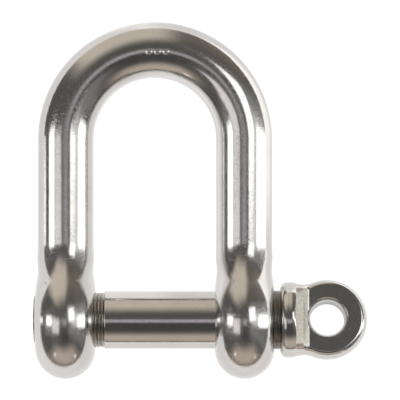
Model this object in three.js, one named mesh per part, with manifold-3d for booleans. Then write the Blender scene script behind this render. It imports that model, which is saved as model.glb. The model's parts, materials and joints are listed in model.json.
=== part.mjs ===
// Straight (dee) shackle with a screw pin, 10 mm bar, forged stainless steel.
//
// Millimetres, +Z up. The shackle lies on the plane z = 0 on its two ears and
// its crown. The pin axis runs along X with the pin's eye towards +X, and the
// crown points towards +Y. The origin is under the middle of the whole part.
//
// Each piece is first made in its own frame, with the origin on the pin axis
// midway between the ears: X along the pin, Y towards the crown, Z out of the
// plane of the dee. The group then lays the pieces down.

import * as THREE from 'three';
import { mergeVertices } from 'three/addons/utils/BufferGeometryUtils.js';
import Module from 'manifold-3d';

// ---------------------------------------------------------------- dimensions

// Bent bar
const BAR_R = 5.0;
const LEG_X = 15.9; // leg centre lines, and the crown's bend radius
const CROWN_Y = 32.3; // centre of the crown's half circle

// Ears
const EAR_R = 10.5;
const RIM_R = 5.33; // full round of the rim
const EAR_HALF = 5.27; // half thickness between the spot faces
const EAR_X = 15.97; // middle plane of each ear

// Neck, where the leg flares into the ear
const NECK_FILLET = 10.0;
const NECK_HALF_WIDTH = 5.25; // half width along X, just inside the spot faces
const NECK_WIDE_Y = 4.0; // where the leg has swelled to that width

// Holes in the ears
const CLEAR_HOLE_R = 5.45; // plain hole, on the eye's side
const TAPPED_HOLE_R = 5.1; // tapped hole, to the bottoms of its thread
const HOLE_CHAMFER = 0.25;

// Pin shank
const SHANK_R = 5.13;
const SHOULDER_X = -9.23; // the thread ends and the plain shank starts
const SHOULDER_CHAMFER = 0.33;
const SHANK_END_X = 22.0;

// Thread, M10 coarse
const THREAD_R = 4.8;
const THREAD_ROOT_R = 4.0;
const THREAD_PITCH = 1.5;
const THREAD_CREST = 0.3;
const THREAD_ROOT_FLAT = 0.3;
const TIP_X = -21.57;
const TIP_CHAMFER = 0.6;

// Collar
const COLLAR_X0 = 22.3;
const COLLAR_X1 = 25.1;
const COLLAR_R = 6.72;
const COLLAR_ROUND = 1.2;
const COLLAR_BACK_ROUND = 0.35;

// Step from the collar down to the eye plate
const WAIST_X = 26.4;
const WAIST_R = 6.33;
const WAIST_START_R = 6.5; // inside the collar, where the waist begins to narrow
const STEP_HALF = 3.9; // half height against the collar
const STEP_LOW_HALF = 3.5; // half height where its hollow begins
const STEP_END_X = 27.5;

// Eye plate
const EYE_X = 30.72;
const EYE_R = 7.12;
const PLATE_HALF = 2.6;
const PLATE_ROUND = 1.1;
const EYE_HOLE_R = 3.15;
const EYE_HOLE_BEVEL = 0.55;
const EYE_HOLE_BEVEL_DEPTH = 1.8;
const EYE_TURN = 18.5; // degrees that the plate has turned about the pin axis

// Fineness of the facets
const BAR_SIDES = 28; // a multiple of four, so the facets reach the full size
const BAR_STEPS = 66;
const EAR_SIDES = 44;
const RIM_STEPS = 12;
const PIN_SIDES = 32;
const ROUND_STEPS = 4;

// --------------------------------------------------------------- joining aids

const wasm = await Module();
wasm.setup();

// A closed three.js geometry as a manifold solid.
function solid(geometry) {
  const bare = geometry.clone();
  bare.deleteAttribute('normal');
  bare.deleteAttribute('uv');
  const merged = mergeVertices(bare, 1e-4);
  return new wasm.Manifold(new wasm.Mesh({
    numProp: 3,
    vertProperties: new Float32Array(merged.attributes.position.array),
    triVerts: new Uint32Array(merged.index.array),
  }));
}

// A manifold solid back as a three.js geometry.
function geometryOf(made) {
  const mesh = made.getMesh();
  const geometry = new THREE.BufferGeometry();
  geometry.setAttribute('position', new THREE.BufferAttribute(mesh.vertProperties, 3));
  geometry.setIndex(new THREE.BufferAttribute(mesh.triVerts, 1));
  geometry.computeVertexNormals();
  return geometry;
}

// A body of revolution about X. Each outline point is [x, radius].
function turned(outline, sides) {
  const points = outline.map(([x, r]) => new THREE.Vector2(r, x));
  return new THREE.LatheGeometry(points, sides).rotateZ(-Math.PI / 2);
}

// Points of a quarter round in an outline, as [x, radius], from one angle to another.
function roundOff(x, r, radius, from, to) {
  return Array.from({ length: ROUND_STEPS + 1 }, (_, i) => {
    const a = THREE.MathUtils.degToRad(from + ((to - from) * i) / ROUND_STEPS);
    return [x + radius * Math.cos(a), r + radius * Math.sin(a)];
  });
}

// ---------------------------------------------------------------- bent bar

// The bar's centre line: up one leg, round the crown and down the other leg.
class BarLine extends THREE.Curve {
  getPoint(t, target = new THREE.Vector3()) {
    const bend = Math.PI * LEG_X;
    const along = t * (2 * CROWN_Y + bend);
    if (along <= CROWN_Y) return target.set(-LEG_X, along, 0);
    if (along >= CROWN_Y + bend) return target.set(LEG_X, 2 * CROWN_Y + bend - along, 0);
    const a = Math.PI - (along - CROWN_Y) / LEG_X;
    return target.set(LEG_X * Math.cos(a), CROWN_Y + LEG_X * Math.sin(a), 0);
  }
}

// Where the neck's fillet leaves the leg, and where it meets the ear's circle.
const FILLET_Z = BAR_R + NECK_FILLET;
const NECK_TOP = Math.sqrt((EAR_R + NECK_FILLET) ** 2 - FILLET_Z ** 2);
const NECK_FOOT = (NECK_TOP * EAR_R) / (EAR_R + NECK_FILLET);

// Half depth of the leg along Z: a fillet curve that is tangent to leg and ear.
function legDepth(y) {
  if (y >= NECK_TOP) return BAR_R;
  const at = Math.max(y, NECK_FOOT);
  return FILLET_Z - Math.sqrt(NECK_FILLET ** 2 - (NECK_TOP - at) ** 2);
}

// How far the leg has swelled along X, from 0 on the round bar to 1 in the ear.
function legSwell(y) {
  return 1 - THREE.MathUtils.smoothstep(y, NECK_WIDE_Y, NECK_TOP);
}

// The round bar swept along its line, with both ends flared into necks. Inside
// the ear a neck narrows to the bar's depth again, so that it stays covered.
function bentBar() {
  const section = new THREE.Shape();
  section.absarc(0, 0, BAR_R, 0, 2 * Math.PI);
  const bar = new THREE.ExtrudeGeometry(section, {
    steps: BAR_STEPS,
    curveSegments: BAR_SIDES / 2, // per half turn
    extrudePath: new BarLine(),
  });
  const at = bar.attributes.position;
  for (let i = 0; i < at.count; i += 1) {
    const y = at.getY(i);
    if (y >= NECK_TOP) continue;
    const side = Math.sign(at.getX(i));
    const width = THREE.MathUtils.lerp(BAR_R, NECK_HALF_WIDTH, legSwell(y));
    const middle = THREE.MathUtils.lerp(LEG_X, EAR_X, legSwell(y));
    const foot = THREE.MathUtils.smoothstep(y, 0, NECK_FOOT);
    const depth = THREE.MathUtils.lerp(BAR_R, legDepth(y), foot);
    at.setX(i, side * middle + ((at.getX(i) - side * LEG_X) * width) / BAR_R);
    at.setZ(i, (at.getZ(i) * depth) / BAR_R);
  }
  return bar;
}

// ---------------------------------------------------------------- ears

// A thick disc about X with a full-round rim, cut flat by its two spot faces.
function ear() {
  const centre = EAR_R - RIM_R;
  const reach = Math.asin(EAR_HALF / RIM_R);
  const rim = Array.from({ length: RIM_STEPS + 1 }, (_, i) => {
    const a = -reach + (2 * reach * i) / RIM_STEPS;
    return [RIM_R * Math.sin(a), centre + RIM_R * Math.cos(a)];
  });
  return turned([[-EAR_HALF, 0], ...rim, [EAR_HALF, 0]], EAR_SIDES);
}

// A hole's cutter about X, as long as the ear and a little more, with chamfers.
function earHole(r) {
  const beyond = HOLE_CHAMFER;
  const wide = r + HOLE_CHAMFER + beyond;
  return turned([
    [-EAR_HALF - beyond, 0],
    [-EAR_HALF - beyond, wide],
    [-EAR_HALF + HOLE_CHAMFER, r],
    [EAR_HALF - HOLE_CHAMFER, r],
    [EAR_HALF + beyond, wide],
    [EAR_HALF + beyond, 0],
  ], PIN_SIDES);
}

// The whole body: bar, both ears and their two holes.
function shackleBody() {
  const left = solid(ear().translate(-EAR_X, 0, 0));
  const right = solid(ear().translate(EAR_X, 0, 0));
  const tapped = solid(earHole(TAPPED_HOLE_R).translate(-EAR_X, 0, 0));
  const clear = solid(earHole(CLEAR_HOLE_R).translate(EAR_X, 0, 0));
  const forged = solid(bentBar()).add(left).add(right);
  return geometryOf(forged.subtract(tapped).subtract(clear));
}

// ---------------------------------------------------------------- pin

// The thread as rings of the same pitch and depth as its turns.
function threadOutline() {
  const flank = (THREAD_PITCH - THREAD_CREST - THREAD_ROOT_FLAT) / 2;
  const start = TIP_X + TIP_CHAMFER;
  const turns = Math.floor((SHOULDER_X - start - flank) / THREAD_PITCH);
  const outline = [];
  for (let i = 0; i < turns; i += 1) {
    const x = start + i * THREAD_PITCH;
    outline.push([x, THREAD_R]);
    outline.push([x + THREAD_CREST, THREAD_R]);
    outline.push([x + THREAD_CREST + flank, THREAD_ROOT_R]);
    outline.push([x + THREAD_CREST + flank + THREAD_ROOT_FLAT, THREAD_ROOT_R]);
  }
  outline.push([start + turns * THREAD_PITCH, THREAD_R]);
  return outline;
}

// The screwed end, the shoulder and the plain shank.
function pinShank() {
  return turned([
    [TIP_X, 0],
    [TIP_X, THREAD_R - TIP_CHAMFER],
    ...threadOutline(),
    [SHOULDER_X, THREAD_R],
    [SHOULDER_X + SHOULDER_CHAMFER, SHANK_R],
    [SHANK_END_X, SHANK_R],
    [SHANK_END_X, 0],
  ], PIN_SIDES);
}

// The round collar that comes up against the ear.
function collar() {
  const back = COLLAR_R - 0.15;
  return turned([
    [COLLAR_X0, 0],
    ...roundOff(COLLAR_X0 + COLLAR_ROUND, COLLAR_R - COLLAR_ROUND, COLLAR_ROUND, 180, 90),
    ...roundOff(COLLAR_X1 - COLLAR_BACK_ROUND, back - COLLAR_BACK_ROUND, COLLAR_BACK_ROUND, 90, 0),
    [COLLAR_X1, 0],
  ], PIN_SIDES);
}

// The waist between collar and plate, cut to the step's falling height.
function step() {
  const start = COLLAR_X1 - 1;
  const side = new THREE.Shape();
  side.moveTo(start, -STEP_HALF);
  side.lineTo(COLLAR_X1, -STEP_HALF);
  side.lineTo(WAIST_X, -STEP_LOW_HALF);
  side.quadraticCurveTo(WAIST_X + 0.3, -PLATE_HALF, STEP_END_X, -PLATE_HALF);
  side.lineTo(STEP_END_X, PLATE_HALF);
  side.quadraticCurveTo(WAIST_X + 0.3, PLATE_HALF, WAIST_X, STEP_LOW_HALF);
  side.lineTo(COLLAR_X1, STEP_HALF);
  side.lineTo(start, STEP_HALF);
  const slab = new THREE.ExtrudeGeometry(side, {
    depth: 2 * COLLAR_R,
    bevelEnabled: false,
    curveSegments: ROUND_STEPS,
  });
  slab.translate(0, 0, -COLLAR_R).rotateX(Math.PI / 2);
  const waist = turned([
    [start, 0],
    [start, WAIST_START_R],
    [WAIST_X, WAIST_R],
    [STEP_END_X, WAIST_R],
    [STEP_END_X, 0],
  ], PIN_SIDES);
  return solid(slab).intersect(solid(waist));
}

// The flat round eye with rounded edges, and a short web back to the collar.
function plate() {
  const inset = EYE_R - PLATE_ROUND;
  const web = WAIST_R - PLATE_ROUND;
  const join = Math.asin(web / inset);
  const outline = new THREE.Shape();
  outline.moveTo(COLLAR_X1 - 1, -web);
  outline.lineTo(EYE_X - inset * Math.cos(join), -web);
  outline.absarc(EYE_X, 0, inset, Math.PI + join, Math.PI - join);
  outline.lineTo(COLLAR_X1 - 1, web);
  const slab = new THREE.ExtrudeGeometry(outline, {
    depth: 2 * (PLATE_HALF - PLATE_ROUND),
    bevelSize: PLATE_ROUND,
    bevelThickness: PLATE_ROUND,
    bevelSegments: ROUND_STEPS,
    curveSegments: PIN_SIDES / 2, // per half turn
  });
  return slab.translate(0, 0, PLATE_ROUND - PLATE_HALF);
}

// The cutter for the eye's hole, about Z, bevelled at both faces of the plate.
function eyeHole() {
  const wide = EYE_HOLE_R + EYE_HOLE_BEVEL;
  const straight = PLATE_HALF - EYE_HOLE_BEVEL_DEPTH;
  const outline = [
    [-PLATE_HALF - 1, 0],
    [-PLATE_HALF - 1, wide],
    [-PLATE_HALF, wide],
    [-straight, EYE_HOLE_R],
    [straight, EYE_HOLE_R],
    [PLATE_HALF, wide],
    [PLATE_HALF + 1, wide],
    [PLATE_HALF + 1, 0],
  ];
  return turned(outline, PIN_SIDES).rotateY(-Math.PI / 2).translate(EYE_X, 0, 0);
}

// The head: collar, step, plate and the hole through it.
function pinHead() {
  const forged = solid(collar()).add(step()).add(solid(plate()));
  return geometryOf(forged.subtract(solid(eyeHole())));
}

// ---------------------------------------------------------------- assembly

// The body tips until its crown rests on the same plane as its ears.
const CROWN_LINE = CROWN_Y + LEG_X;
const LYING_ANGLE = Math.asin((EAR_R - BAR_R) / CROWN_LINE);
const CROWN_END = CROWN_LINE * Math.cos(LYING_ANGLE) + BAR_R;
const MIDDLE_X = (TIP_X + EYE_X + EYE_R) / 2;
const MIDDLE_Y = (CROWN_END - EAR_R) / 2;

function steel(color, roughness) {
  return new THREE.MeshStandardMaterial({ color, roughness, metalness: 1.0 });
}

function piece(name, geometry, material) {
  const mesh = new THREE.Mesh(geometry, material);
  mesh.name = name;
  return mesh;
}

const body = piece('shackle_body', shackleBody(), steel(0xb9b4ae, 0.12));
body.rotation.x = -LYING_ANGLE;

const pin = new THREE.Group();
pin.add(piece('pin_shank', pinShank(), steel(0x9c958c, 0.3)));
pin.add(piece('pin_head', pinHead(), steel(0xb1aca6, 0.15)));
pin.rotation.x = THREE.MathUtils.degToRad(-EYE_TURN);

const shackle = new THREE.Group();
shackle.add(body, pin);
shackle.position.set(-MIDDLE_X, -MIDDLE_Y, EAR_R);

export default shackle;
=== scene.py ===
import json
import math

import bpy
import numpy as np
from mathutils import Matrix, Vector


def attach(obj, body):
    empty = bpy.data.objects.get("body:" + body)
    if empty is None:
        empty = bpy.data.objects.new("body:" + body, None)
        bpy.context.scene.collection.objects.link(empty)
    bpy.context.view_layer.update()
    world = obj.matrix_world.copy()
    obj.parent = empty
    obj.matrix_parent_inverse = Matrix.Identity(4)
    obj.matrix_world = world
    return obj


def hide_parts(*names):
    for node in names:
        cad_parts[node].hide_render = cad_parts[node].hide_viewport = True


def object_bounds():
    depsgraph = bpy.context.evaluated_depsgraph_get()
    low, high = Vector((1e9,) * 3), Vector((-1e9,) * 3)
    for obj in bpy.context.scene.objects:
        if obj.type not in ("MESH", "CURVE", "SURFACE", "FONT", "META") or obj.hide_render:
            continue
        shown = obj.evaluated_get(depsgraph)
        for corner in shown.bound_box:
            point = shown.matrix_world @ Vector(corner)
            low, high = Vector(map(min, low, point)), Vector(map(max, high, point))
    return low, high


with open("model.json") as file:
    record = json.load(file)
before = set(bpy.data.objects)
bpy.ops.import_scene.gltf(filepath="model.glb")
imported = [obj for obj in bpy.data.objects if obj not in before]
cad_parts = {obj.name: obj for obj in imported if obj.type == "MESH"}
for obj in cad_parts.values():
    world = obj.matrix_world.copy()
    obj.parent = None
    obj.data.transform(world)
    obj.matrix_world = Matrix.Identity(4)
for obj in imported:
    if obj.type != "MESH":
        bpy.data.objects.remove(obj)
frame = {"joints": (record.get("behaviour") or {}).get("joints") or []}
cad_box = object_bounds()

# ---------------------------------------------------------------- shackle body
# One length of 10 mm round bar, hot forged into a dee with a thick eyed ear at
# each end. The ears are spot faced and bored, the left one is tapped, and the
# whole forging is tumbled and polished until it is nearly a mirror.
# Millimetres from here on, about the pin axis midway between the ears: X along
# the pin, Y towards the crown, Z out of the dee's plane.

BAR_R = 5.0
LEG_X = 15.9
CROWN_Y = 32.27
EAR_R = 10.495
RIM_R = 5.33
EAR_HALF = 5.27
EAR_X = 15.97
NECK_FILLET = 10.0
SPOT_R = 6.0
PLAIN_HOLE_R = 5.45
TAPPED_HOLE_R = 5.1
HOLE_CHAMFER = 0.25
MOUTH_DEEP = 1.45
FILLET_Z = BAR_R + NECK_FILLET
NECK_TOP = math.sqrt((EAR_R + NECK_FILLET) ** 2 - FILLET_Z ** 2)
NECK_FOOT = NECK_TOP * EAR_R / (EAR_R + NECK_FILLET)
LYING = math.asin((EAR_R - BAR_R) / (CROWN_Y + LEG_X))
PIN_TILT = math.radians(18.5)
LEG_STARTS = 5.0  # from here up, the rim's width passes into the bar's
EAR_FADES = 3.5  # from here the ear's form fades into the leg's
FADE_LENGTH = 8.0
CARRIED = 3.0  # how far the ear's form is carried up the neck
FLAT_BLEND = 0.5
HALF_RING = 48  # facets over half of a bar section
EAR_RAYS = 148  # rays round an ear, outside its leg
PITCH = 1.5
THREAD_R = 4.8
THREAD_ROOT_R = 4.0
CREST_ROUND = 0.35
THREAD_FLAT = 0.3
THREAD_PLAY = 0.3

pin_turn = next(j for j in frame["joints"] if j["name"] == "pin_turn")
pin_axis = np.array(pin_turn["pos_m"], float)


def soft_max(a, b, k):
    """The larger of a and b, plus (k - |a - b|) squared over 4k where they come within k."""
    near = np.maximum(k - np.abs(a - b), 0.0)
    return np.maximum(a, b) + near * near / (4 * k)


def soft_min(a, b, k):
    """The smaller of a and b, rounded in the same way."""
    return -soft_max(-a, -b, k)


def smooth(v):
    """The smooth step: 3 v squared less 2 v cubed, between 0 and 1."""
    v = np.clip(v, 0, 1)
    return v * v * (3 - 2 * v)


def thread(x, turn):
    """Radius of a right-hand thread: the place within one pitch is x less the pitch times
    the share of a turn, and from there the radius rises from root to crest and back."""
    place = np.mod(x - PITCH * turn / (2 * np.pi), PITCH)
    flank = (PITCH - 2 * THREAD_FLAT) / 2
    up = np.clip((place - THREAD_FLAT) / flank, 0, 1)
    down = np.clip((place - 2 * THREAD_FLAT - flank) / flank, 0, 1)
    rise = up - down
    rise = smooth(rise) * CREST_ROUND + rise * (1 - CREST_ROUND)
    return THREAD_ROOT_R + (THREAD_R - THREAD_ROOT_R) * rise


def middle(y):
    """Distance of the leg's middle from the dee's middle: a smooth step from ear to leg."""
    return EAR_X + (LEG_X - EAR_X) * smooth((y - SPOT_R) / (NECK_TOP - SPOT_R))


def thickness(y, z):
    """Half thickness squared of ear, neck and leg. The ear is a disc whose rim is a circle
    of RIM_R, so it loses the square of the distance past the rim's centre. The leg is an
    ellipse across the outline, which follows the ear's circle and then the neck's fillet.
    The ear's form is carried up the neck, fading into the leg's, and the spot face cuts
    both off at EAR_HALF."""
    up = NECK_TOP - np.clip(y, NECK_FOOT, NECK_TOP)
    fillet = FILLET_Z - np.sqrt(NECK_FILLET ** 2 - up ** 2)
    low = np.clip(y, 0, NECK_FOOT)
    outline = np.where(y < NECK_FOOT, np.sqrt(EAR_R ** 2 - low ** 2), fillet)
    held = np.where(y < NECK_FOOT, y, NECK_FOOT + CARRIED * np.tanh((y - NECK_FOOT) / CARRIED))
    aside = np.where(y < 0, z, z / outline * np.sqrt(np.maximum(EAR_R ** 2 - held ** 2, 0)))
    ear = RIM_R ** 2 - np.maximum(np.hypot(held, aside) - (EAR_R - RIM_R), 0) ** 2
    width = RIM_R + (BAR_R - RIM_R) * smooth((y - LEG_STARTS) / (NECK_TOP - LEG_STARTS))
    leg = width ** 2 * (1 - (z / outline) ** 2)
    share = smooth((y - EAR_FADES) / FADE_LENGTH)
    return soft_min(ear + (leg - ear) * share, EAR_HALF ** 2, FLAT_BLEND)


def along_ray(field, a, b, low, high):
    """Where a field falls to nothing along rays of direction (a, b), found by halving."""
    low, high = np.full(a.shape, low), np.full(a.shape, high)
    for _ in range(44):
        half = (low + high) / 2
        inside = field(half * a, half * b) > 0
        low, high = np.where(inside, half, low), np.where(inside, high, half)
    return low


def slope(field, a, b):
    """The two slopes of a field, by central differences over a hundredth of a millimetre."""
    e = 0.005
    return ((field(a + e, b) - field(a - e, b)) / (2 * e),
            (field(a, b + e) - field(a, b - e)) / (2 * e))


def grid_normals(p):
    """Normals of a grid of points that closes on itself across: the cross product of its
    two directions."""
    along = np.gradient(p, axis=0)
    padded = np.concatenate([p[:, -2:-1], p, p[:, 1:2]], axis=1)
    n = np.cross(along, (padded[:, 2:] - padded[:, :-2]) / 2)
    return n / np.maximum(np.linalg.norm(n, axis=2, keepdims=True), 1e-12)


def spacing(count):
    """Shares from 0 to 1, closing up towards 1 as a sine does, where the surface turns over."""
    return np.sin(np.linspace(0, np.pi / 2, count + 1))


def make_piece(name, patches, tilt, masks=()):
    """Sews grids of (points, normals) into one closed mesh. Points that fall together are
    joined, corners that collapse make triangles, each face is turned to agree with its
    normals, and the whole is turned about X by the tilt and set on the pin axis."""
    points, normals, corners, start = [], [], [], 0
    for p, n in patches:
        rows, cols = p.shape[:2]
        at = np.arange(rows * cols).reshape(rows, cols) + start
        quad = np.stack([at[:-1, :-1], at[1:, :-1], at[1:, 1:], at[:-1, 1:]], 2).reshape(-1, 4)
        flat, wanted = p.reshape(-1, 3), n.reshape(-1, 3)
        local = quad - start
        facing = np.cross(flat[local[:, 2]] - flat[local[:, 0]], flat[local[:, 3]] - flat[local[:, 1]])
        agree = np.sum(facing * wanted[local].sum(1))
        corners.append(quad if agree > 0 else quad[:, ::-1])
        points.append(flat)
        normals.append(wanted)
        start += rows * cols
    points, normals = np.concatenate(points), np.concatenate(normals)
    corners = np.concatenate(corners)
    joined, where = np.unique(np.round(points, 5) + 0.0, axis=0, return_inverse=True)
    index = where.reshape(-1)[corners]
    same = index == np.roll(index, -1, axis=1)
    whole, three = ~same.any(1), same.sum(1) == 1
    faces = index[whole].tolist() + index[three][~same[three]].reshape(-1, 3).tolist()
    used = np.concatenate([corners[whole].reshape(-1), corners[three][~same[three]]])
    c, s = math.cos(-tilt), math.sin(-tilt)
    turn = np.array([[1, 0, 0], [0, c, -s], [0, s, c]])
    mesh = bpy.data.meshes.new(name)
    mesh.from_pydata((joined @ turn.T * 0.001 + pin_axis).tolist(), [], faces)
    mesh.shade_smooth()
    mesh.normals_split_custom_set((normals[used] @ turn.T).tolist())
    for label, worth in masks:
        layer = mesh.attributes.new(label, "FLOAT", "POINT")
        layer.data.foreach_set("value", worth(joined).astype(np.float32))
    piece = bpy.data.objects.new(name, mesh)
    bpy.context.scene.collection.objects.link(piece)
    return piece


def eared_end(side, inner_r):
    """Both faces of one ear with its neck. Rays leave the pin axis at set angles, those
    within the leg landing on the bar's section and the rest on the rim, and along a ray
    the surface stands off the middle by the root of the thickness field."""
    theta = np.pi * np.arange(HALF_RING + 1) / HALF_RING
    in_leg = np.arctan2(BAR_R * np.cos(theta), NECK_TOP)
    rest = np.linspace(in_leg[-1], in_leg[0] - 2 * np.pi, EAR_RAYS + 1)[1:]
    angle = np.concatenate([in_leg, rest])
    cy, cz = np.cos(angle), np.sin(angle)
    reach = along_ray(thickness, cy, cz, SPOT_R, 16.0)
    reach[:HALF_RING + 1] = NECK_TOP / cy[:HALF_RING + 1]
    reach[-1] = reach[0]
    out = inner_r + (reach - inner_r) * spacing(42)[:, None]
    y, z = out * cy, out * cz
    square = np.maximum(thickness(y, z), 0)
    square[-1, HALF_RING + 1:] = 0
    square[-1, :HALF_RING + 1] = (BAR_R * np.sin(theta)) ** 2
    half = np.sqrt(square)
    half[0] = EAR_HALF
    half[-1, :HALF_RING + 1] = BAR_R * np.sin(theta)
    half[-1, [0, HALF_RING, -1]] = 0
    fy, fz = slope(thickness, y, z)
    lean = (middle(y + 0.01) - middle(y - 0.01)) / 0.02 * side
    sheets = []
    for face in (-1, 1):
        x = side * middle(y) + face * half
        n = np.stack([2 * face * half, -2 * face * half * lean - fy, -fz], 2)
        n /= np.linalg.norm(n, axis=2, keepdims=True)
        sheets.append((np.stack([x, y, z], 2), n))
    return sheets, angle


def plain_bore(side, angle):
    """A straight drilled hole with a small chamfer at each face, as three turned bands."""
    cy, cz = np.cos(angle), np.sin(angle)
    step = [(EAR_HALF, PLAIN_HOLE_R + HOLE_CHAMFER), (EAR_HALF - HOLE_CHAMFER, PLAIN_HOLE_R),
            (HOLE_CHAMFER - EAR_HALF, PLAIN_HOLE_R), (-EAR_HALF, PLAIN_HOLE_R + HOLE_CHAMFER)]
    bands = []
    for (x0, r0), (x1, r1) in zip(step, step[1:]):
        x, r = np.array([[x0], [x1]]), np.array([[r0], [r1]])
        p = np.stack(np.broadcast_arrays(side * EAR_X + x, r * cy, r * cz), 2)
        tip = (r1 - r0) / (x1 - x0)
        n = np.stack(np.broadcast_arrays(np.full((2, 1), tip), -cy, -cz), 2)
        bands.append((p, n / np.linalg.norm(n, axis=2, keepdims=True)))
    return bands


def tapped_bore(side, angle):
    """A tapped hole: the pin's own thread grown by its play, or the countersink's cone
    where that is wider. The mouth towards the jaw is bored out to TAPPED_HOLE_R, so that
    the pin's plain neck can enter. Its phase is set so that it is in mesh with the pin."""
    x = np.linspace(-EAR_HALF, EAR_HALF, 85)[:, None]
    phase = angle - LYING + PIN_TILT

    def radius(x, a):
        cone = TAPPED_HOLE_R + HOLE_CHAMFER - (EAR_HALF - np.abs(x))
        mouth = TAPPED_HOLE_R - 2 * np.maximum(EAR_HALF - MOUTH_DEEP + side * x, 0)
        return np.maximum(np.maximum(thread(side * EAR_X + x, a) + THREAD_PLAY, cone), mouth)

    r = radius(x, phase)
    rx = (radius(x + 0.01, phase) - radius(x - 0.01, phase)) / 0.02
    rx[0], rx[-1] = -1, 1
    ra = (radius(x, phase + 0.002) - radius(x, phase - 0.002)) / 0.004 / r
    cy, cz = np.cos(angle), np.sin(angle)
    p = np.stack(np.broadcast_arrays(side * EAR_X + x, r * cy, r * cz), 2)
    n = np.stack([rx, -cy - ra * cz, -cz + ra * cy], 2)
    return [(p, n / np.linalg.norm(n, axis=2, keepdims=True))]


def bent_bar():
    """The round bar carried up one leg, round the crown and down the other. A section is
    a circle spanned by Z and by the direction away from the dee's inside."""
    leg = np.linspace(NECK_TOP, CROWN_Y, 19)
    bend = np.linspace(np.pi, 0, 73)
    cx = np.concatenate([np.full(18, -LEG_X), LEG_X * np.cos(bend), np.full(18, LEG_X)])[:, None]
    cy = np.concatenate([leg[:-1], CROWN_Y + LEG_X * np.sin(bend), leg[-2::-1]])[:, None]
    turn = np.concatenate([np.full(18, np.pi), bend, np.zeros(18)])[:, None]
    around = np.pi * np.arange(2 * HALF_RING + 1) / HALF_RING
    ox, oy = np.cos(turn), np.sin(turn)
    ox[:19], ox[-19:], oy[:19], oy[-19:] = -1, 1, 0, 0
    n = np.stack(np.broadcast_arrays(ox * np.sin(around), oy * np.sin(around),
                                     np.cos(around) + 0 * ox), 2)
    centre = np.stack(np.broadcast_arrays(cx, cy, 0 * cx), 2)
    return [(centre + BAR_R * n, n)]


WORN_LEG = 0.25
WORN_EDGE = 5.0


def worn_ears(p):
    """Mask for the ears and necks, which are duller: WORN_LEG on the legs, rising to 1."""
    rising = np.clip((NECK_TOP + WORN_EDGE / 2 - p[:, 1]) / WORN_EDGE, 0, 1)
    return WORN_LEG + (1 - WORN_LEG) * rising


left_ear, left_angle = eared_end(-1, TAPPED_HOLE_R + HOLE_CHAMFER)
right_ear, right_angle = eared_end(1, PLAIN_HOLE_R + HOLE_CHAMFER)
forging = make_piece(
    "shackle_forging",
    bent_bar() + left_ear + tapped_bore(-1, left_angle) + right_ear + plain_bore(1, right_angle),
    LYING,
    [("worn", worn_ears)],
)


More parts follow.
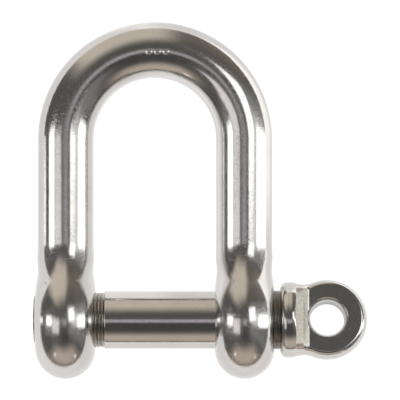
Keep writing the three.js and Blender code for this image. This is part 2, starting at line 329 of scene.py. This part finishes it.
def polished_steel(name, tone, gloss, grain, sanded=None, turned=None, worn=None, punched=()):
    """Polished stainless steel in Object coordinates. Grain of a third of a millimetre
    and a slow swell of a few millimetres tilt the mirror a little, hairlines and dull
    patches vary its roughness, and a few pits show dark. Masks can make places sanded
    (pale, coarse), turned (darker, satin) or worn (softer, speckled). Punched dots are
    little round dents, each given by its place in metres and its radius."""
    steel = bpy.data.materials.new(name)
    steel.use_nodes = True
    tree = steel.node_tree
    tree.nodes.clear()
    link = tree.links.new

    def node(kind, **sockets):
        made = tree.nodes.new(kind)
        for key, worth in sockets.items():
            made.inputs[key.replace("_", " ")].default_value = worth
        return made

    def noise(scale, detail, rough, space, distortion=0.0):
        made = node("ShaderNodeTexNoise", Scale=scale, Detail=detail, Roughness=rough,
                    Distortion=distortion)
        link(space, made.inputs["Vector"])
        return made.outputs["Fac"]

    def spread(fac, low, high, to_low, to_high):
        made = tree.nodes.new("ShaderNodeMapRange")
        made.interpolation_type = "SMOOTHSTEP"
        for key, worth in (("From Min", low), ("From Max", high), ("To Min", to_low),
                           ("To Max", to_high)):
            made.inputs[key].default_value = worth
        link(fac, made.inputs["Value"])
        return made.outputs["Result"]

    def maths(kind, a, b):
        made = tree.nodes.new("ShaderNodeMath")
        made.operation = kind
        for socket, worth in zip(made.inputs, (a, b)):
            if isinstance(worth, (int, float)):
                socket.default_value = worth
            else:
                link(worth, socket)
        return made.outputs[0]

    def colours(fac, a, b):
        made = tree.nodes.new("ShaderNodeMix")
        made.data_type = "RGBA"
        link(fac, made.inputs[0])
        for socket, worth in ((made.inputs[6], a), (made.inputs[7], b)):
            if isinstance(worth, tuple):
                socket.default_value = (*worth, 1)
            else:
                link(worth, socket)
        return made.outputs[2]

    where = tree.nodes.new("ShaderNodeTexCoord").outputs["Object"]
    streak = tree.nodes.new("ShaderNodeMapping")
    streak.inputs["Rotation"].default_value = (0.2, 0.1, 0.5)
    streak.inputs["Scale"].default_value = (240, 5200, 5200)
    link(where, streak.inputs["Vector"])

    patches = noise(160, 3, 0.6, where)
    fine = noise(2600, 3, 0.65, where)
    swell = noise(190, 1, 0.4, where)
    hair = noise(1, 2, 0.5, streak.outputs["Vector"])
    scratch = spread(hair, 0.66, 0.76, 0, 1)
    speck = spread(noise(4200, 2, 0.6, where), 0.54, 0.68, 0, 1)
    cells = node("ShaderNodeTexVoronoi", Scale=330.0)
    link(where, cells.inputs["Vector"])
    chance = tree.nodes.new("ShaderNodeSeparateColor")
    link(cells.outputs["Color"], chance.inputs["Color"])
    dot = spread(cells.outputs["Distance"], 0.03, 0.06, 1, 0)
    pit = maths("MULTIPLY", dot, spread(chance.outputs["Red"], 0.93, 0.94, 0, 1))

    shade = colours(spread(patches, 0.3, 0.7, 0, 1), tuple(0.96 * t for t in tone),
                    tuple(1.03 * t for t in tone))
    shade = colours(pit, shade, (0.06, 0.05, 0.045))
    rough = spread(patches, 0.3, 0.75, gloss * 0.8, gloss * 1.5)
    rough = maths("ADD", rough, maths("MULTIPLY", scratch, 0.05))
    rough = maths("ADD", rough, maths("MULTIPLY", pit, 0.4))
    height = maths("ADD", maths("MULTIPLY", fine, grain), maths("MULTIPLY", swell, 1.4))
    height = maths("SUBTRACT", height, maths("MULTIPLY", scratch, 0.16))
    height = maths("SUBTRACT", height, maths("MULTIPLY", speck, 0.42 * grain))
    if worn:
        mask = tree.nodes.new("ShaderNodeAttribute")
        mask.attribute_name = worn
        much = maths("MULTIPLY", mask.outputs["Fac"], spread(patches, 0.25, 0.6, 0.7, 1.25))
        rough = maths("ADD", rough, maths("MULTIPLY", much, 0.04))
        height = maths("SUBTRACT", height, maths("MULTIPLY", maths("MULTIPLY", much, speck), 0.3))
    for place, radius in punched:
        away = tree.nodes.new("ShaderNodeVectorMath")
        away.operation = "DISTANCE"
        link(where, away.inputs[0])
        away.inputs[1].default_value = place
        dent = spread(away.outputs["Value"], radius * 0.45, radius, 1, 0)
        height = maths("SUBTRACT", height, maths("MULTIPLY", dent, 15.0))
        rough = maths("ADD", rough, maths("MULTIPLY", dent, 0.15))
    height = maths("SUBTRACT", height, maths("MULTIPLY", pit, 3.0))
    for label, colour, dull, bite, scale in ((sanded, (0.86, 0.83, 0.74), 0.46, 6.0, 4200),
                                             (turned, (0.40, 0.38, 0.34), 0.26, 1.2, 3000)):
        if not label:
            continue
        mask = tree.nodes.new("ShaderNodeAttribute")
        mask.attribute_name = label
        much = mask.outputs["Fac"]
        sand = noise(scale, 2, 0.7, where)
        shade = colours(much, shade, colours(spread(sand, 0.35, 0.65, 0, 1),
                                             tuple(0.72 * c for c in colour), colour))
        rough = maths("ADD", maths("MULTIPLY", rough, maths("SUBTRACT", 1.0, much)),
                      maths("MULTIPLY", much, dull))
        height = maths("ADD", height, maths("MULTIPLY", maths("MULTIPLY", much, sand), bite))

    bump = node("ShaderNodeBump", Strength=1.0, Distance=1.0e-5)
    link(height, bump.inputs["Height"])
    shader = node("ShaderNodeBsdfPrincipled", Metallic=1.0)
    link(shade, shader.inputs["Base Color"])
    link(rough, shader.inputs["Roughness"])
    link(bump.outputs["Normal"], shader.inputs["Normal"])
    output = tree.nodes.new("ShaderNodeOutputMaterial")
    link(shader.outputs["BSDF"], output.inputs["Surface"])
    return steel


# Three plain dots are punched into the crown, in a row on the bar's upper side.
MARK_X = 0.5
MARK_OUT = 47.7
MARK_GAP = 1.5
MARK_R = 0.62
mark_up = math.sqrt(BAR_R ** 2 - (MARK_OUT - CROWN_Y - LEG_X) ** 2)
mark_y = MARK_OUT * math.cos(LYING) + mark_up * math.sin(LYING)
mark_z = mark_up * math.cos(LYING) - MARK_OUT * math.sin(LYING)
crown_mark = []
for column in (-1, 0, 1):
    dot_at = pin_axis + 0.001 * np.array([MARK_X + MARK_GAP * column, mark_y, mark_z])
    crown_mark.append((tuple(float(v) for v in dot_at), 0.001 * MARK_R))
forging.data.materials.append(polished_steel(
    "polished_forging", (0.61, 0.597, 0.58), 0.055, 0.9, worn="worn", punched=crown_mark))
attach(forging, "body")
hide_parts("shackle_body")

# ---------------------------------------------------------------- pin shank
# The screwed and plain part of the pin, turned from the same bar as the head:
# a chamfered tip, a rolled coarse thread, a bright shank and a few tool
# marks close under the collar. It turns with the head, being one with it.

TIP_X = -21.57
TIP_CHAMFER = 0.6
THREAD_END_X = -10.75
SHOULDER_X = -9.23
SHOULDER_CHAMFER = 0.33
RUN_OUT = 2.5  # how steeply the thread's groove rises into the plain neck
NECK_PROUD = 0.04
SCORES_X = -9.95  # midway between the two scored rings
SCORES_APART = 0.66
SCORE_HALF = 0.16
SCORE_DEEP = 0.16
SHANK_R = 5.13
NECK_MARKS_X = 21.3
SHANK_END_X = 22.28
RIPPLE_PITCH = 0.34
RIPPLE_MEAN = 0.10
RIPPLE_SWING = 0.07


def shank_radius(x, turn):
    """Radius of the shank: the thread, but no more than the tip's 45 degree cone, a plain
    neck with two scored rings, then the bright shank, then a ripple of tool marks under
    the collar."""
    tip = THREAD_R - TIP_CHAMFER + (x - TIP_X)
    neck = np.minimum(THREAD_R - RUN_OUT * (THREAD_END_X - x), THREAD_R)
    score = np.maximum(1 - np.abs(np.abs(x - SCORES_X) - SCORES_APART / 2) / SCORE_HALF, 0)
    neck = neck + NECK_PROUD - SCORE_DEEP * score * (x > THREAD_END_X)
    screwed = np.maximum(np.minimum(thread(x, turn), tip), neck)
    plain = np.minimum(THREAD_R + np.maximum(x - SHOULDER_X, 0), SHANK_R)
    marks = np.clip((x - NECK_MARKS_X) / 0.12, 0, 1)
    ripple = RIPPLE_MEAN + RIPPLE_SWING * np.cos(2 * np.pi * (x - NECK_MARKS_X) / RIPPLE_PITCH)
    return np.where(x < SHOULDER_X, screwed, plain + marks * ripple)


def turned_shank():
    """The shank's surface as one grid of x and angle, with a flat disc closing each end."""
    x = np.concatenate([
        np.linspace(TIP_X, THREAD_END_X - 0.02, 95),
        np.linspace(THREAD_END_X, SHOULDER_X - 0.001, 40),
        SHOULDER_X + SHOULDER_CHAMFER * np.linspace(0, 1, 4),
        np.linspace(SHOULDER_X + 0.5, NECK_MARKS_X - 0.2, 40),
        np.linspace(NECK_MARKS_X - 0.02, SHANK_END_X, 34),
    ])[:, None]
    turn = np.linspace(0, 2 * np.pi, 2 * HALF_RING + 1)
    r = shank_radius(x, turn)
    rx = (shank_radius(x + 0.01, turn) - shank_radius(x - 0.01, turn)) / 0.02
    ra = (shank_radius(x, turn + 0.002) - shank_radius(x, turn - 0.002)) / 0.004 / r
    cy, cz = np.cos(turn), np.sin(turn)
    p = np.stack(np.broadcast_arrays(x, r * cy, r * cz), 2)
    n = np.stack([-rx, cy + ra * cz, cz - ra * cy], 2)
    sheets = [(p, n / np.linalg.norm(n, axis=2, keepdims=True))]
    for ring, way in ((p[0], -1), (p[-1], 1)):
        disc = ring * np.array([[[1, 0, 0]]]) + np.linspace(0, 1, 5)[:, None, None] * (
            ring * np.array([[[0, 1, 1]]]))
        sheets.append((disc, np.broadcast_to(np.array([way, 0.0, 0.0]), disc.shape)))
    return sheets


def turned_zone(p):
    """Mask for the thread and the tool marks: 1 before the shoulder and under the collar."""
    screwed = np.clip((SHOULDER_X + 0.1 - p[:, 0]) / 0.2, 0, 1)
    marked = np.clip((p[:, 0] - NECK_MARKS_X + 0.05) / 0.15, 0, 1)
    return np.maximum(screwed, marked)


shank = make_piece("pin_turned_shank", turned_shank(), PIN_TILT, [("turned", turned_zone)])
shank.data.materials.append(
    polished_steel("turned_shank", (0.61, 0.595, 0.575), 0.05, 0.7, turned="turned"))
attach(shank, "head")
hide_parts("pin_shank")

# ---------------------------------------------------------------- pin head
# The pin's collar and flat eye, forged in one with the shank. The step behind
# the collar keeps the pale sanded finish that the polishing wheel can't reach.

COLLAR_X0 = 22.3
COLLAR_R = 6.72
COLLAR_ROUND = 1.2
WALL_X = 24.35
LIP_DEEP = 0.71
LIP_LOW = 5.95
LIP_FALL = 0.85
LIP_R = 6.6
WALL_R = 6.56
WALL_HALF = 5.9
UNCUT = 9.0  # a height beyond the collar, which leaves a section round
STEP_X0 = 25.12
STEP_HALF = 3.9
WAIST_X = 26.4
WAIST_R = 6.33
STEP_LOW_HALF = 3.5
STEP_X1 = 27.5
SEAM_X = 26.0
EYE_X = 30.72
EYE_R = 7.12
PLATE_HALF = 2.6
HOLE_R = 3.08
HOLE_BEVEL = 0.6
HOLE_BEVEL_DEPTH = 1.15
EDGE_ROUND = 8.0
SANDED_X0 = 25.06
SANDED_X1 = 27.3
SANDED_HALF = 5.5
SANDED_Z = 2.2


def step_height(x):
    """Half height behind the collar: a straight fall to STEP_LOW_HALF, then a hollow
    that falls as a square and runs out in the plate."""
    ramp = STEP_HALF + (STEP_LOW_HALF - STEP_HALF) * (x - STEP_X0) / (WAIST_X - STEP_X0)
    left = np.clip((STEP_X1 - x) / (STEP_X1 - WAIST_X), 0, 1)
    hollow = PLATE_HALF + (STEP_LOW_HALF - PLATE_HALF) * left * left
    return np.where(x < WAIST_X, ramp, hollow)


def waist_radius(x):
    """Radius of the round waist, which narrows evenly from the collar."""
    return np.interp(x, [STEP_X0, WAIST_X], [6.52, WAIST_R])


def head_height(x, y):
    """Half height squared of step and plate: the waist's round bar and the eye's disc run
    together, and the step's height cuts them off with rounded edges."""
    u = x - EYE_X
    eye = EYE_R ** 2 - u ** 2 - y ** 2
    waist = waist_radius(x) ** 2 - y ** 2 - 12 * np.maximum(x - STEP_X1, 0) ** 2
    return soft_min(soft_max(eye, waist, 4.0), step_height(x) ** 2, EDGE_ROUND)


def collar_sections():
    """Collar and start of the step as sections across the pin. A section is a circle cut
    off at a height, its radius along each angle found by halving. The rows walk out over
    the collar's face, round its corner, along it, down its back wall and along the step."""
    arc = np.linspace(0, np.pi / 2, 13)
    lip = np.linspace(0, np.pi / 2, 6)
    step = np.linspace(STEP_X0, SEAM_X, 8)[1:]
    x = np.concatenate([
        [COLLAR_X0] * 4, COLLAR_X0 + COLLAR_ROUND * (1 - np.cos(arc)),
        np.linspace(COLLAR_X0 + COLLAR_ROUND, WALL_X, 9)[1:],
        WALL_X + LIP_DEEP * np.sin(lip), WALL_X + LIP_DEEP + 0.06 * np.linspace(0, 1, 10)[1:],
        step,
    ])
    r = np.concatenate([
        [0, 2.0, 4.0, 5.2], COLLAR_R - COLLAR_ROUND * (1 - np.sin(arc)),
        np.full(8, COLLAR_R), np.linspace(COLLAR_R, LIP_R, 6), np.full(9, WALL_R),
        waist_radius(step),
    ])
    h = np.concatenate([
        np.full(25, UNCUT), LIP_LOW + LIP_FALL * np.cos(lip),
        np.linspace(WALL_HALF, STEP_HALF, 10)[1:], step_height(step),
    ])
    k = np.concatenate([np.full(25, 0.4), np.linspace(0.4, 2, 6), np.linspace(2, EDGE_ROUND, 9),
                        np.full(7, EDGE_ROUND)])
    x, r, h, k = (v[:, None] for v in (x, r, h, k))
    turn = np.linspace(0, 2 * np.pi, 2 * HALF_RING + 1)
    cy, cz = np.cos(turn), np.sin(turn)
    cz[[0, HALF_RING, -1]] = 0
    low, high = np.zeros((len(x), len(turn))), np.full((len(x), len(turn)), 8.0)
    for _ in range(50):
        half = (low + high) / 2
        inside = (half * cz) ** 2 < soft_min(r ** 2 - (half * cy) ** 2, h ** 2, k)
        low, high = np.where(inside, half, low), np.where(inside, high, half)
    low[0] = 0
    p = np.stack(np.broadcast_arrays(x, low * cy, low * cz), 2)
    n = grid_normals(p)
    n *= -1 if n[30, 0, 1] < 0 else 1
    n[:4] = (-1, 0, 0)
    return p, n


def eye_plate(section):
    """Both faces of the plate with the rest of the step. Rays leave the eye's axis, those
    towards the collar landing on its last section and the rest on the plate's edge, and
    the surface stands off the plate's middle by the root of the height field."""
    sector = section[:HALF_RING + 1]
    angle = np.arctan2(sector[:, 1], sector[:, 0] - EYE_X)
    angle = np.where(angle < 0, angle + 2 * np.pi, angle)
    rest = np.linspace(angle[-1], angle[0] + 2 * np.pi, 151)[1:]
    angle = np.concatenate([angle, rest])
    ca, sa = np.cos(angle), np.sin(angle)
    reach = along_ray(lambda a, b: head_height(EYE_X + a, b), ca, sa, 4.0, 8.5)
    reach[:HALF_RING + 1] = np.hypot(sector[:, 1], sector[:, 0] - EYE_X)
    reach[-1] = reach[0]
    inner = HOLE_R + HOLE_BEVEL
    out = inner + (reach - inner) * spacing(38)[:, None]
    x, y = EYE_X + out * ca, out * sa
    half = np.sqrt(np.maximum(head_height(x, y), 0))
    half[-1, HALF_RING + 1:] = 0
    x[-1, :HALF_RING + 1], y[-1, :HALF_RING + 1] = sector[:, 0], sector[:, 1]
    x[-1, -1], y[-1, -1] = sector[0, 0], sector[0, 1]
    half[-1, :HALF_RING + 1] = sector[:, 2]
    fx, fy = slope(head_height, x, y)
    sheets = []
    for face in (-1, 1):
        n = np.stack([-fx, -fy, 2 * face * half], 2)
        n /= np.linalg.norm(n, axis=2, keepdims=True)
        sheets.append((np.stack([x, y, face * half], 2), n))
    edge = half[0]
    q = np.linspace(0, 1, 9)[:, None]
    bow_in, bow_down = np.sin(q * np.pi / 2), 1 - np.cos(q * np.pi / 2)
    wide = inner - HOLE_BEVEL * (0.5 * q + 0.5 * bow_in)
    straight = PLATE_HALF - HOLE_BEVEL_DEPTH
    deep = edge - (edge - straight) * (0.5 * q + 0.5 * bow_down)
    upper = np.stack(np.broadcast_arrays(EYE_X + wide * ca, wide * sa, deep), 2)
    lower = upper[::-1] * np.array([[[1, 1, -1]]])
    bore = np.concatenate([upper, lower])
    n = grid_normals(bore)
    inward = np.stack([-ca, -sa, 0 * ca], 1)
    n *= -1 if np.sum(n[8] * inward) < 0 else 1
    return sheets + [(bore, n)]


def sanded_zone(p):
    """Mask for the sanded step: 1 on its upper and lower faces between collar and plate."""
    x, y, z = p.T
    along = np.clip((x - SANDED_X0) / 0.1, 0, 1) * np.clip((SANDED_X1 - x) / 0.2, 0, 1)
    across = np.clip((SANDED_HALF - np.abs(y)) / 0.35, 0, 1)
    return along * across * (np.abs(z) > SANDED_Z)


collar, collar_normals = collar_sections()
head = make_piece("pin_eye_head", [(collar, collar_normals)] + eye_plate(collar[-1]), PIN_TILT,
                  [("sanded", sanded_zone)])
head.data.materials.append(
    polished_steel("forged_head", (0.61, 0.597, 0.575), 0.06, 0.9, sanded="sanded"))
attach(head, "head")
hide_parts("pin_head")

# ---------------------------------------------------------------- table
# A plain white table. The camera sees it without end, and the polished steel
# sees a round of it that lies parallel to the dee. Painted light makes that round
# a little brighter to the right, between the legs and at its rim, and a painted
# shadow makes it dimmer under the eye.

low_z = float(cad_box[0][2])
TABLE_R = 0.112
TABLE_GAP = 0.0002
SHEET_R = 3.0
SHEET_GLOW = 1.05
ROUND_TINT = (0.98, 0.965, 0.955)
# How much painted light brightens the round to the right, between the legs and at its rim, and how
# much a painted shadow dims it under the eye.
RIGHT_PAINTED_LIGHT = 0.5
LEGS_PAINTED_LIGHT = 0.2
RIM_PAINTED_LIGHT = 0.12
EYE_PAINTED_SHADOW = 0.4
PAINTED_SHADOW_EAST = 0.0307


def glowing(name):
    """A material that only gives off light, as its mesh's light attribute says."""
    made = bpy.data.materials.new(name)
    made.use_nodes = True
    tree = made.node_tree
    tree.nodes.clear()
    light = tree.nodes.new("ShaderNodeEmission")
    painted = tree.nodes.new("ShaderNodeAttribute")
    painted.attribute_name = "light"
    tree.links.new(painted.outputs["Color"], light.inputs["Color"])
    output = tree.nodes.new("ShaderNodeOutputMaterial")
    tree.links.new(light.outputs[0], output.inputs["Surface"])
    return made


def stage_grid(name, p, light, material):
    """A grid of points in metres with a colour at each, as staging that rides on nothing."""
    rows, cols = p.shape[:2]
    at = np.arange(rows * cols).reshape(rows, cols)
    faces = np.stack([at[:-1, :-1], at[1:, :-1], at[1:, 1:], at[:-1, 1:]], 2).reshape(-1, 4)
    mesh = bpy.data.meshes.new(name)
    mesh.from_pydata(p.reshape(-1, 3).tolist(), [], faces.tolist())
    mesh.attributes.new("light", "FLOAT_COLOR", "POINT")
    rgba = np.concatenate([light, np.ones((rows, cols, 1))], 2).astype(np.float32)
    mesh.attributes["light"].data.foreach_set("color", rgba.reshape(-1))
    made = bpy.data.objects.new(name, mesh)
    bpy.context.scene.collection.objects.link(made)
    made.data.materials.append(material)
    return made


def disc(radius, height, rings):
    """A flat disc of rings and angles about the middle of the frame, in metres."""
    r = np.linspace(0, radius, rings)[:, None]
    a = np.linspace(0, 2 * np.pi, 97)
    return np.stack(np.broadcast_arrays(r * np.cos(a), r * np.sin(a), height + 0 * r), 2)


sheet = disc(SHEET_R, low_z - TABLE_GAP, 3)
table = stage_grid("table", sheet, np.full(sheet.shape, SHEET_GLOW), glowing("table_white"))
table.visible_glossy = table.visible_diffuse = False
near = disc(TABLE_R, 0.0, 90)
east, north = near[..., 0] - pin_axis[0], near[..., 1] - pin_axis[1]
# Where the round gets its painted light (to the right, between the legs, at its rim) and its painted
# shadow (under the eye).
painted_right_light = smooth((east - 0.026) / 0.014) * smooth((north - 0.010) / 0.014)
painted_legs_light = smooth((0.011 - np.abs(east + 0.006)) / 0.008) * smooth((north - 0.004) / 0.01)
painted_rim_light = smooth((np.hypot(east - 0.008, north - 0.02) - 0.045) / 0.03)
painted_eye_shadow = smooth((0.009 - np.hypot(east - PAINTED_SHADOW_EAST, north)) / 0.006)
painted_table_light = 1 + RIGHT_PAINTED_LIGHT * painted_right_light + LEGS_PAINTED_LIGHT * painted_legs_light
painted_table_light = painted_table_light * (1 + RIM_PAINTED_LIGHT * painted_rim_light) * (1 - EYE_PAINTED_SHADOW * painted_eye_shadow)
under = EAR_R / 1000 / math.cos(LYING) + TABLE_GAP
near[..., 2] = pin_axis[2] - under - north * math.tan(LYING)
tabletop = stage_grid("table_round", near, painted_table_light[..., None] * np.array(ROUND_TINT),
                      glowing("table_round_painted_light"))
tabletop.visible_camera = False

# ---------------------------------------------------------------- light tent
# A dark warm tent round everything, with large soft lights at the two sides,
# a small one above the right, a lilac panel above the left and beige boards
# behind and in front. It stands square to the camera.

TENT_R = 1.6
TENT_REACH = 112  # degrees down from straight above
DARK = (0.130, 0.126, 0.119)
BOARDS = [
    # bearing, half width and edge in degrees, then where it starts and is full, its light
    (62, 30, 26, 40, 84, (0.215, 0.187, 0.165)),
    (110, 27, 18, 22, 62, (0.77, 0.70, 0.595)),
    (-90, 34, 30, 44, 72, (0.64, 0.55, 0.475)),
    (-90, 42, 26, 86, 97, (0.30, 0.225, 0.195)),
]
LAMPS = [
    # middle, half size, turn and softness in degrees from straight above, then the light
    (-58, -18, 18, 9, 0, 16, (0.26, 0.25, 0.24)),
    (48, -28, 36, 11, -24, 20, (0.27, 0.27, 0.27)),
    (66, 18, 30, 14, 6, 24, (0.32, 0.32, 0.31)),
    (0, -26, 16, 16, 0, 14, (0.085, 0.083, 0.082)),
    (-1, 0, 12, 4, 0, 5, (0.33, 0.32, 0.32)),
    (1, -4, 6, 5, 0, 7, (0.56, 0.53, 0.58)),
    (60, 1, 32, 12, 0, 16, (0.85, 0.84, 0.82)),
    (28.5, 12, 11.5, 13, 8, 5, (2.2, 2.2, 2.2)),
    (77, -3, 24, 10, -3, 9, (3.2, 3.2, 3.2)),
    (-31, -10.5, 12.5, 14.5, -5, 4, (1.10, 1.06, 1.08)),
    (-58.5, -1, 11.5, 8, 0, 10, (3.0, 3.0, 3.0)),
    (-96, -2, 8, 5, 0, 6, (1.9, 1.9, 1.85)),
    (-38, -69, 3.5, 3.5, 0, 6, (1.6, 1.5, 1.4)),
    (42, -74, 3.5, 3.5, 0, 6, (1.6, 1.5, 1.4)),
]


def tent_light(east, north):
    """Light from each direction, given as its angle from straight above split into east
    and north: the dark tent, then each board as a soft fan from its bearing, growing from
    its top edge to its full light, then each lamp laid over them as a soft rectangle."""
    light = np.zeros(east.shape + (3,)) + np.array(DARK)
    fall, bearing = np.hypot(east, north), np.degrees(np.arctan2(north, east))
    for middle_at, half_wide, edge, start, full, colour in BOARDS:
        off = np.abs((bearing - middle_at + 180) % 360 - 180)
        share = smooth((half_wide - off) / edge + 0.5) * smooth((fall - start) / (full - start))
        light = light + share[..., None] * (np.array(colour) - light)
    for x, y, half_x, half_y, turn, soft, colour in LAMPS:
        c, s = math.cos(math.radians(turn)), math.sin(math.radians(turn))
        u, v = (east - x) * c + (north - y) * s, (north - y) * c - (east - x) * s
        share = smooth((half_x - np.abs(u)) / soft + 0.5) * smooth((half_y - np.abs(v)) / soft + 0.5)
        light = light + share[..., None] * (np.array(colour) - light)
    return light


polar = np.radians(np.linspace(0, TENT_REACH, 2 * TENT_REACH + 1))[:, None]
azimuth = np.radians(np.linspace(0, 360, 361))
tent_light_now = tent_light(np.degrees(polar) * np.cos(azimuth), np.degrees(polar) * np.sin(azimuth))
flat_x, flat_y = np.sin(polar) * np.cos(azimuth), np.sin(polar) * np.sin(azimuth)
up = np.cos(polar) + 0 * azimuth
c, s = math.cos(LYING), math.sin(LYING)
round_tent = TENT_R * np.stack([flat_x, flat_y * c + up * s, up * c - flat_y * s], 2)
tent = stage_grid("light_tent", round_tent, tent_light_now, glowing("tent_glow"))
tent.visible_camera = False

world = bpy.data.worlds.new("pale_room")
world.use_nodes = True
world.node_tree.nodes["Background"].inputs["Color"].default_value = (1.0, 1.0, 1.0, 1)
bpy.context.scene.world = world
bpy.context.scene.view_settings.view_transform = "Standard"

# ---------------------------------------------------------------- camera
# Square to the dee's plane, the crown to the top, through a long lens. It
# aims close to the middle of the dee and the pin taken together.

CAMERA_AWAY = 0.56
FRAME_WIDTH = 0.07143
MIDDLE = (0.00803, 0.02141)  # from the pin axis midway between the ears
lens = bpy.data.cameras.new("camera")
lens.sensor_width = 36
lens.lens = 36 * CAMERA_AWAY / FRAME_WIDTH
lens.clip_start = 0.01
camera = bpy.data.objects.new("camera", lens)
camera.location = Vector(pin_axis) + Vector((
    MIDDLE[0], MIDDLE[1] * c + CAMERA_AWAY * s, CAMERA_AWAY * c - MIDDLE[1] * s))
camera.rotation_euler = (-LYING, 0, 0)
bpy.context.scene.collection.objects.link(camera)
bpy.context.scene.camera = camera
